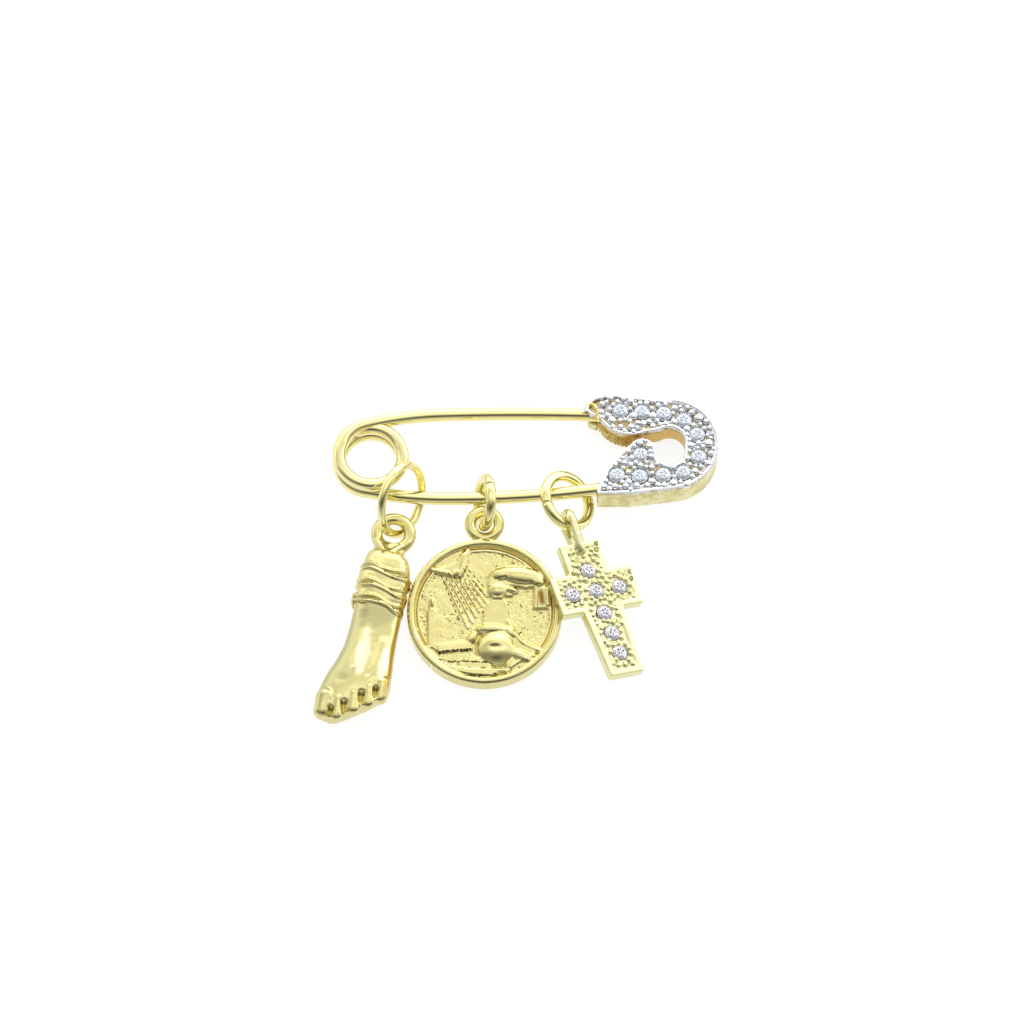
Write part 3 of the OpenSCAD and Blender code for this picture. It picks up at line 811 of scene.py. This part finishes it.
def cast_gold_finish(name, pit_size, pit_depth, gloss, wave, skin_colour, hollow_shade, light_patches=()):
    """Gold plate on a casting: a painted highlight on what stands up, painted shade and a duller polish in
    hollows.
    """
    finish, start, place = new_finish(name)
    cloud = place.grain(1.7)
    pits = place.grain(pit_size, 2.0)
    bend = start.node("NewGeometry", out=7)
    # Painted shade in the hollows, and a painted highlight on what stands up
    hollow = bend.step(0.42, 0.5)
    wear_and_highlight = bend.step(0.53, 0.62).blend(skin_colour, HIGHLIGHT_GOLD)
    colour = hollow.blend(hollow_shade, wear_and_highlight)
    place_x, place_y, _ = place.parts()
    # Patches of painted shade and painted highlight, with soft cloudy edges
    for x, y, slant, half_x, half_y, tone in light_patches:
        north = place_y - y
        east = (place_x - x - north * slant) / half_x
        north = north / half_y
        spread = east * east + north * north + (cloud - 0.5) * 1.2
        colour = spread.step(0.4, 1.2).blend(tone, colour)
    rough = gloss + cloud * 0.12 + (1 - hollow) * 0.12
    height = pits + cloud * wave
    plate(start, colour, rough, height, 0.4, pit_depth)
    return finish


def swell(at, size, turn=0.0):
    """A smooth rounded bulge, such as a wax worker lays on: its middle, its half sizes and its turn."""
    bpy.ops.mesh.primitive_uv_sphere_add(
        segments=24, ring_count=14, radius=1, location=at, rotation=(0, 0, math.radians(turn)), scale=size
    )
    made = bpy.context.object
    bpy.ops.object.transform_apply()
    return made


def turned(piece, change):
    """Moves a piece by a change of place and applies it to the mesh."""
    piece.matrix_world = change
    take(piece)
    bpy.ops.object.transform_apply()


CUFF_BANDS = (4.35, 5.95, 7.45)
CUFF_LEFT, CUFF_RIGHT, CUFF_HALF = -2.0, 2.72, 1.66
CUFF_RISE = 0.05
CUFF_STEPS = 36
CUFF_SQUARENESS = 0.8
CUFF_SLANT = 0.1
CUFF_WAVE = 0.15
# The two threads of each band as offset, phase, waves and radius, and the phase from band to band
CUFF_THREADS = [(-0.26, 0.0, 5, 0.15), (0.22, 2.6, 4, 0.13)]
CUFF_PHASE = 1.3


def cuff_strand(y, shift, waves, r):
    """One raised thread round the cuff, which waves a little towards and away from the hand."""
    points = []
    for k in range(CUFF_STEPS + 1):
        a = 2 * math.pi * k / CUFF_STEPS
        across, out = [math.copysign(abs(v) ** CUFF_SQUARENESS, v) for v in (math.cos(a), math.sin(a))]
        x = (CUFF_LEFT + CUFF_RIGHT) / 2 + (CUFF_RIGHT - CUFF_LEFT) / 2 * across
        z = (CUFF_HALF + CUFF_RISE) * out
        points.append((x, -(y + CUFF_SLANT * x + CUFF_WAVE * math.sin(waves * a + shift)), z))
    return strand(points, r)


# Gaps between the fingers as start, end, depth and half width, along the back of the hand
FINGER_GAPS = [
    ((-1.03, 18.6), (-1.08, 19.6), 0.45, 0.2), ((-0.06, 17.8), (0.1, 18.9), 0.5, 0.26),
    ((1.27, 16.6), (1.4, 17.7), 0.5, 0.26), ((2.39, 15.85), (2.5, 16.9), 0.45, 0.24),
]
# How wide a gap is cut, in half widths, and how much it narrows and rises towards its end
GAP_REACH = 2.5
GAP_NARROWING = 0.45
GAP_RISE = 0.8
# The two legs of the loop where they run into the cuff
LOOP_LEGS = [
    [(-1.28, -1.05, 0.45), (-0.65, -1.7, 0.62), (0.0, -2.4, 1.1)],
    [(1.05, -1.2, 0.45), (0.65, -1.75, 0.65), (0.15, -2.4, 1.1)],
]
LEG_R = 0.27
# Tendons, hollows beside them and metal left between the finger ends, as start, end, rise and half width
TENDONS = [
    ((0.2, 10.8), (0.5, 14.2), 0.1, 0.5), ((1.95, 11.3), (2.0, 14.6), 0.1, 0.5),
    ((1.1, 11.5), (1.3, 14.5), -0.08, 0.5), ((-0.9, 9.5), (-1.0, 15.5), -0.08, 0.8),
    ((-1.1, 19.5), (-1.15, 20.6), 0.3, 0.24), ((0.05, 18.8), (0.15, 20.0), 0.3, 0.24),
    ((1.4, 17.6), (1.5, 18.8), 0.3, 0.24), ((2.5, 16.8), (2.6, 18.0), 0.3, 0.24),
]
# The part of the hand that is worked so: above this height, and beyond the cuff
WORKED_ABOVE = -0.9
CUFF_END = 8.5
HAND_SKIN = 0.08


def near_line(spot, a, b):
    """How far a spot lies from a line between two points, and how far along it."""
    a, b, spot = Vector(a), Vector(b), Vector(spot)
    along = max(0.0, min(1.0, (spot - a).dot(b - a) / (b - a).length_squared))
    return (spot - a.lerp(b, along)).length, along


cast_gold = cast_gold_finish("cast_gold_hand", 0.9, 0.03, 0.16, 3.0, HAND_GOLD, FOLD_SHADE, HAND_LIGHT_PATCHES)
hand_frame = Matrix.Translation(HAND_AT) @ Matrix.Rotation(math.radians(HAND_TURN), 4, "Z")
hand = copy_of_solid("hand_charm", "hand_casting")
turned(hand, hand_frame.inverted())
cast(hand, HAND_SKIN, 12)
wax = [hand]
for i, y in enumerate(CUFF_BANDS):
    wax += [cuff_strand(y + off, CUFF_PHASE * i + phase, waves, r) for off, phase, waves, r in CUFF_THREADS]
wax += [strand(leg, LEG_R, 0.8) for leg in LOOP_LEGS]
hand = join("hand_casting", wax)
cast(hand, HAND_SKIN, 3)
for corner in hand.data.vertices:
    x, y, z = corner.co
    if z < WORKED_ABOVE or y > -CUFF_END:
        continue
    for start_at, end_at, depth, width in FINGER_GAPS:
        off, along = near_line((x, -y), start_at, end_at)
        if off < GAP_REACH * width:
            side = off / width / (1 - GAP_NARROWING * along)
            corner.co.z -= depth * math.exp(-(side ** 2)) * (1 - GAP_RISE * along)
    for start_at, end_at, rise, width in TENDONS:
        off, along = near_line((x, -y), start_at, end_at)
        corner.co.z += rise * math.exp(-((off / width) ** 2))
use(hand, "SMOOTH", factor=0.5, iterations=2)
turned(hand, hand_frame)
put_down(hand, cast_gold, "gold_cast", "hand_charm")

# Medal
# A round cast medal with a raised rim, a pitted ground and soft raised figures: a dove and its rays,
# a candle, an arm that pours water from a shell, and a plain round head with a cloth.
MEDAL_AT = (-13.19, -12.42, 1.19)
MEDAL_TILT = 3.5
MEDAL_GROUND = 0.4
MEDAL_SKIN = 0.075
CAST_GOLD = (0.71, 0.65, 0.29, 1)
GROUND_GOLD = (0.68, 0.61, 0.26, 1)
# A painted highlight for raised edges, and painted shade for the creases and beside the sleeve
EDGE_HIGHLIGHT = (0.97, 0.93, 0.66, 1)
CREASE_SHADE = (0.74, 0.52, 0.15, 1)
TARNISH = (0.10, 0.08, 0.03, 1)
SLEEVE_SHADE = (0.26, 0.14, 0.03, 1)
# One shallow dent across the round head, as x, y, half length, half width and depth
HEAD_DENT = (0.95, -3.6, 0.6, 0.24, 0.2)
# Dark lines chased under the candle's slab and at the base, as slope, height at the middle, and both ends
CHASED_LINES = [(0.11, -3.5, -4.2, -1.2), (-0.07, -4.93, -4.1, 0.3), (-0.04, -6.2, -1.8, 1.2)]
# Rays as rows of dashes that fan out from a point: their first and last heading and the step between, in
# degrees, and how far from that point they start and stop
RAY_APEX = (-6.35, 9.9)
RAY_FIRST, RAY_LAST, RAY_STEP = -70.5, -48.5, 2.75
RAY_NEAR, RAY_FAR = 6.9, 11.5
medal_frame = Matrix.Translation(MEDAL_AT) @ Matrix.Rotation(math.radians(MEDAL_TILT), 4, "X")


def medal_finish():
    """Cast gold with a rough, pitted ground, rays struck in as rows of dark dashes, painted shade and
    highlights.
    """
    finish, start, place = new_finish("cast_gold_medal")
    x, y, z = start.node("VectorMath", {"operation": "SUBTRACT"}, {0: place, 1: MEDAL_AT}).parts()
    cloud = place.grain(1.5)
    rough_skin = place.grain(0.8, 2.0)
    pits = place.grain(0.22, 2.0)
    east, north = x - RAY_APEX[0], y - RAY_APEX[1]
    reach = (east * east + north * north).maths("SQRT")
    turn = north.maths("ARCTAN2", east) * (180 / math.pi)
    row = (turn - RAY_FIRST) / RAY_STEP
    stripe = (row.maths("FRACT") - 0.5).maths("ABSOLUTE") < 0.03 + pits * 0.16
    dash = (reach * 1.7 + row.maths("FLOOR") * 0.37 + pits * 0.7).maths("FRACT") < 0.5
    inside = (turn > RAY_FIRST) * (turn < RAY_LAST) * (reach > RAY_NEAR + (row - 3.0) * 0.08)
    inside = inside * (reach < RAY_FAR - row * 0.2)
    rays = stripe * dash * inside
    ground = 1 - (x * x + y * y).maths("SQRT").step(6.0, 6.3)
    rise = z - y * math.tan(math.radians(MEDAL_TILT))
    low = 1 - rise.step(MEDAL_GROUND + 0.08, MEDAL_GROUND + 0.2)
    bend = start.node("NewGeometry", out=7)
    # Painted shade in the creases, and a painted highlight on raised edges away from the rays
    hollow = bend.step(0.43, 0.50)
    wear_and_highlight = bend.step(0.515, 0.57) * (1 - inside)
    spots = (1 - pits.step(0.33, 0.4)) * (1 - cloud.step(0.44, 0.52)) * ground * low
    skin_colour = rough_skin.step(0.35, 0.65).blend(GROUND_GOLD, CAST_GOLD)
    metal = hollow.blend(CREASE_SHADE, wear_and_highlight.blend(skin_colour, EDGE_HIGHLIGHT))
    dark = spots.maths("MAXIMUM", rays)
    for slope, base, low_x, high_x in CHASED_LINES:
        line = (y - x * slope - base).maths("ABSOLUTE") < (pits - 0.42) * 0.6
        dark = dark.maths("MAXIMUM", line * (x > low_x) * (x < high_x))
    fold_x = 1 - (x - 5.15 + (y - 1.4) * 0.12).maths("ABSOLUTE").step(0.08, 0.38)
    sleeve = fold_x * (1 - (y - 1.35).maths("ABSOLUTE").step(0.4, 1.0))
    colour = sleeve.blend(dark.blend(metal, TARNISH), SLEEVE_SHADE)
    rough = 0.18 + cloud * 0.12 + (1 - hollow) * 0.12
    height = rough_skin * (0.3 + ground * low * 1.6) + pits * ground * low * 0.8 - dark * 0.6
    plate(start, colour, rough, height, 0.6, 0.12)
    return finish


def laid(points, r, lift=0.0, ends=1.0):
    """A thread of wax on the medal's ground, along points of its face."""
    return strand([(x, y, MEDAL_GROUND + lift) for x, y in points], r, ends)


def mound(x, y, half_l, half_w, h, turn=0.0):
    """A soft mound of wax on the medal's ground."""
    return swell((x, y, MEDAL_GROUND), (half_l, half_w, h), turn)


def figure(mounds=(), threads=()):
    """Part of a raised figure of the medal: its mounds of wax, then its threads."""
    return [mound(*row) for row in mounds] + [laid(*row) for row in threads]


# The dove's feathers, from between its wings outwards
FEATHERS = 7
FEATHER_ROOTS = Vector((-3.3, 4.1)), Vector((-2.2, 4.9))
FEATHER_TIPS = Vector((-4.75, 4.45)), Vector((-2.15, 6.1))
SLEEVE_FOLDS = 5
FINGERS = 3
SHELL_RIBS = 5
# A fine inner line and the rounded top of the rim, as radius of the line, radius of the thread and lift
RIM_LINES = [(5.98, 0.11, 0.03), (6.66, 0.3, 0.19)]

medal_gold = medal_finish()
medal = copy_of_solid("medal", "medal_casting")
turned(medal, medal_frame.inverted())
wax = [medal]
# The dove: a low wing, a raised wing and its body, and feathers between the wings
wax += figure([
    (-3.6, 3.8, 1.5, 0.3, 0.42, -13), (-1.85, 4.9, 1.5, 0.33, 0.42, 72), (-2.5, 3.75, 0.6, 0.4, 0.45, 20),
])
for k in range(FEATHERS):
    tip, root = [ends[0].lerp(ends[1], k / (FEATHERS - 1)) for ends in (FEATHER_TIPS, FEATHER_ROOTS)]
    wax.append(laid([root, root.lerp(tip, 0.5), tip], 0.12, 0.12, 0.5))
# The candle with its flame, the slab it is on, and the ground below
wax += figure(threads=[([(-5.0, -3.6), (-5.0, 0.1)], 0.12, 0.2), ([(-4.4, -3.7), (-4.4, 0.1)], 0.12, 0.2)])
wax += figure([(-4.7, 0.15, 0.34, 0.2, 0.42), (-4.69, 0.9, 0.17, 0.52, 0.45)], [
    ([(-4.15, -3.35), (-2.7, -3.15), (-1.25, -2.95)], 0.26, 0.1),
    ([(-2.3, -5.05), (-1.3, -4.5), (-0.4, -4.45), (0.6, -5.2)], 0.13, 0.16),
    ([(-2.3, -5.05), (-1.2, -5.35), (0.6, -5.3)], 0.12, 0.16),
    ([(-5.3, -3.3), (-4.6, -4.35), (-3.3, -5.3), (-1.2, -5.95), (0.8, -6.0)], 0.3, 0.0),
])
# The arm in its sleeve, the folds, the fingers on the shell, and the sleeve's hanging end
wax += figure([
    (3.3, 3.45, 2.2, 0.95, 0.75, -8), (1.6, 3.6, 1.3, 0.7, 0.7, 12), (4.7, 3.0, 0.8, 0.65, 0.6, -28),
])
for k in range(SLEEVE_FOLDS):
    wax.append(mound(2.7 + 0.5 * k, 4.75 - 0.28 * k, 0.32, 0.16, 0.5, -55 - 6 * k))
for k in range(FINGERS):
    finger = [(1.3 + 0.1 * k, 3.9 - 0.4 * k), (0.6, 3.4 - 0.35 * k), (0.35, 2.8 - 0.2 * k)]
    wax.append(laid(finger, 0.2, 0.3, 0.7))
wax += figure(threads=[
    ([(4.65, 2.4), (4.75, 1.3), (4.6, 0.3)], 0.22, 0.15),
    ([(5.75, 2.3), (5.7, 1.3), (5.75, 0.6)], 0.24, 0.15),
])
# The shell with its ribs, and four lines of falling water
wax += figure([(1.2, 2.1, 0.95, 0.85, 0.62), (2.35, 2.15, 0.75, 0.35, 0.45, -20)])
for k in range(SHELL_RIBS):
    a = math.radians(-70 + 35 * k)
    foot = (1.2 + 0.35 * math.sin(a), 1.25)
    wax.append(laid([foot, (1.2 + 0.85 * math.sin(a), 2.0 + 0.55 * math.cos(a))], 0.11, 0.35, 0.6))
wax += figure(threads=[
    ([(0.35, 0.95), (0.15, 0.0), (-0.05, -1.2)], 0.13, 0.14),
    ([(1.95, 0.95), (2.0, 0.0), (2.15, -1.2)], 0.13, 0.14),
    ([(0.75, 0.9), (0.65, 0.0), (0.5, -1.2)], 0.09, 0.12),
    ([(1.45, 0.9), (1.45, 0.0), (1.5, -1.2)], 0.09, 0.12),
])
# The shoulders and the cloth below the water, and its folds beside the plain head
wax += figure(
    [(0.6, -1.75, 1.5, 0.6, 0.8, 0), (-1.1, -2.5, 0.75, 0.45, 0.5, 50), (2.3, -2.0, 0.8, 0.5, 0.6, -50)],
    [([(2.1, -0.9), (2.7, -2.0), (3.5, -3.2), (5.1, -3.75)], 0.24, 0.14)],
)
wax += figure([(3.4, -4.3, 1.3, 0.6, 0.6, -25)], [
    ([(2.3, -5.4), (3.2, -4.6), (4.6, -4.2)], 0.18, 0.28),
    ([(1.9, -5.8), (3.0, -5.2), (4.3, -4.75)], 0.18, 0.14),
    ([(0.2, -5.6), (1.6, -5.7), (3.0, -5.5)], 0.18, 0.14),
])
for radius, r, lift in RIM_LINES:
    angles = [math.radians(5 * k) for k in range(73)]
    wax.append(laid([(radius * math.cos(a), radius * math.sin(a)) for a in angles], r, lift))
medal = join("medal_casting", wax)
cast(medal, MEDAL_SKIN, 6)
dent_x, dent_y, half_l, half_w, dent_depth = HEAD_DENT
for corner in medal.data.vertices:
    if corner.co.z > MEDAL_GROUND:
        east, north = (corner.co.x - dent_x) / half_l, (corner.co.y - dent_y) / half_w
        corner.co.z -= dent_depth * math.exp(-(east * east + north * north))
turned(medal, medal_frame)
put_down(medal, medal_gold, "gold_cast", "medal")

# Cross
# A cast cross with a flat border round a field of punched grains, seven stones, and a wire bail that is
# soldered to its top and back.
CROSS_AT = (-3.21, -10.61, 1.85)
CROSS_ROLL = 17
CROSS_YAW = 19
CROSS_FIELD_Z = 0.35
CROSS_STONE_R = 0.72
CROSS_GOLD = (0.74, 0.71, 0.40, 1)
CROSS_SHADE = (0.62, 0.57, 0.24, 1)
# Small dark drill marks beside the border, as x and y
DRILL_MARKS = [(1.66, 4.6), (1.5, 4.0), (3.8, 1.25), (3.72, 0.55), (-1.55, 2.0)]
DRILL_R = 0.16
DRILL_DEPTH = 0.4
# Stones of the cross as x and y
CROSS_STONES = [(0, 2.12), (-2.32, 0), (0, 0), (2.32, 0), (0, -2.3), (0, -4.4), (0, -6.45)]
CROSS_STONE_TURN = 29
# Punched grains, drawn like those of the head
GRAINS = (-4, -8.7), (4, 5), (0.2, 0.3), 5000, 8
# The solder that runs from the bail on to the face
BAIL_LINE = [(0, 5.7, 0.88), (0, 5.0, 0.76), (0, 4.4, 0.6), (0, 4.0, 0.4)]
BAIL_R = 0.46
# Coarse skin before the grains are set, and fine skin over them
CROSS_SKIN = 0.08
GRAIN_SKIN = 0.06
cross_frame = (
    Matrix.Translation(CROSS_AT) @ Matrix.Rotation(math.radians(CROSS_YAW), 4, "Z") @
    Matrix.Rotation(math.radians(CROSS_ROLL), 4, "Y")
)
cross_gold = cast_gold_finish("cast_gold_cross", 0.5, 0.02, 0.17, 0.8, CROSS_GOLD, CROSS_SHADE)
cross = copy_of_solid("cross_charm", "cross_casting")
turned(cross, cross_frame.inverted())
cast(cross, CROSS_SKIN, 6)
stone_places = [(x, y, CROSS_STONE_R) for x, y in CROSS_STONES]
grains = free_spots(cross, CROSS_FIELD_Z, stone_places, *GRAINS)
wax = [cross] + [swell((x, y, CROSS_FIELD_Z), (r, r, r)) for x, y, r in grains]
wax.append(strand(BAIL_LINE, BAIL_R, 0.9))
cross = join("cross_casting", wax)
cast(cross, GRAIN_SKIN, 4)
for corner in cross.data.vertices:
    for x, y in DRILL_MARKS:
        off = math.hypot(corner.co.x - x, corner.co.y - y)
        if corner.co.z > 0:
            corner.co.z -= DRILL_DEPTH * math.exp(-((off / DRILL_R) ** 2))
turned(cross, cross_frame)
put_down(cross, cross_gold, "gold_cast", "cross_charm")
# The cross's stones take darker painted reflections
crystal_deep = crystal_finish("crystal_deep", (0.16, 0.14, 0.15, 1), (0.74, 0.74, 0.80, 1), -0.1, 0.8)
set_stones(
    stone_pattern, crystal_deep, "cross_crystal", "cross_stone",
    CROSS_STONES, CROSS_FIELD_Z, CROSS_STONE_TURN, CROSS_STONE_R, cross_frame,
)
bpy.data.objects.remove(stone_pattern)

# Table, light and camera
# A plain white table under soft studio light. The camera looks down at the brooch from in front with
# a long lens.
TABLE_SIZE = 1.6
TABLE_DROP = 0.00002
TABLE_TONES = (0.24, 0.24, 0.24, 1), (0.26, 0.26, 0.26, 1)
TABLE_GLOW = 0.86
VIEW_CENTRE = Vector((-0.0107, -0.0017, 0))
VIEW_ELEVATION = 65
VIEW_DISTANCE = 0.776
LENS = 300
SENSOR = 36

bpy.ops.mesh.primitive_plane_add(size=TABLE_SIZE, location=VIEW_CENTRE - Vector((0, 0, TABLE_DROP)))
table = bpy.context.object
table.name = "table"
white, start, place = new_finish("white_table")
speck = place.grain(4.0)
white_tone = speck.step(0.3, 0.7).blend(*TABLE_TONES)
close_finish(start, {
    "Base Color": white_tone, "Roughness": 0.9, "Specular IOR Level": 0.0,
    "Emission Color": (1, 1, 1, 1), "Emission Strength": TABLE_GLOW,
})
table.data.materials.append(white)

world = bpy.data.worlds.new("studio")
bpy.context.scene.world = world
world.use_nodes = True
world.node_tree.nodes.clear()
sky = Flow(world.node_tree)
way = sky.node("TexCoord", out=0)
across, back, up = way.parts()
angle = up.maths("ARCTAN2", back * -1) / math.pi
# Brightness round the studio from the front horizon (0) over the camera (0.36) and the top to the back (1):
# in the middle, where the dark camera stands, and on both sides of it
MIDDLE = [
    (0.0, 0.85), (0.05, 0.85), (0.10, 0.65), (0.155, 0.43), (0.21, 0.16), (0.26, 0.06), (0.30, 0.10),
    (0.36, 0.45), (0.41, 0.85), (0.46, 1.15), (0.54, 1.6), (0.585, 1.3), (0.62, 1.02), (0.66, 1.02),
    (0.70, 1.7), (0.79, 2.7), (0.9, 2.6), (1.0, 1.8),
]
RIGHT = [
    (0.0, 0.85), (0.12, 0.6), (0.22, 0.28), (0.32, 0.3), (0.40, 0.7), (0.46, 1.1), (0.54, 1.6),
    (0.585, 1.25), (0.62, 1.0), (0.66, 1.0), (0.70, 1.5), (0.79, 2.5), (0.9, 2.4), (1.0, 1.6),
]
LEFT = [
    (0.0, 0.85), (0.12, 0.6), (0.22, 0.28), (0.32, 0.28), (0.40, 0.5), (0.46, 0.75), (0.54, 0.95),
    (0.585, 0.85), (0.62, 0.75), (0.66, 0.75), (0.70, 1.0), (0.79, 1.6), (0.9, 1.5), (1.0, 1.1),
]
PEAK = 2.7
# How far to a side, as a part of the direction, the light of the middle goes over to that side's
SIDE_START, SIDE_END = 0.15, 0.5


def glow(levels):
    """Grey light of the given levels, as shares of the peak."""
    stops = [(at, (level / PEAK, level / PEAK, level / PEAK, 1)) for at, level in levels]
    return sky.node("ValToRGB", {"stops": stops}, {0: angle})


right_of_it = across.step(SIDE_START, SIDE_END).blend(glow(MIDDLE), glow(RIGHT))
light = (across * -1).step(SIDE_START, SIDE_END).blend(right_of_it, glow(LEFT))
background = sky.node("Background", {}, {"Color": light, "Strength": PEAK})
sky.node("OutputWorld", {}, {"Surface": background})

camera = new_piece("camera", bpy.data.cameras.new("camera"))
camera.data.lens = LENS
camera.data.sensor_width = SENSOR
camera.data.clip_start = 0.05
camera.data.clip_end = 10
tilt = math.radians(VIEW_ELEVATION)
camera.location = VIEW_CENTRE + VIEW_DISTANCE * Vector((0, -math.cos(tilt), math.sin(tilt)))
camera.rotation_euler = (VIEW_CENTRE - camera.location).to_track_quat("-Z", "Y").to_euler()
bpy.context.scene.camera = camera
bpy.context.scene.view_settings.view_transform = "Standard"
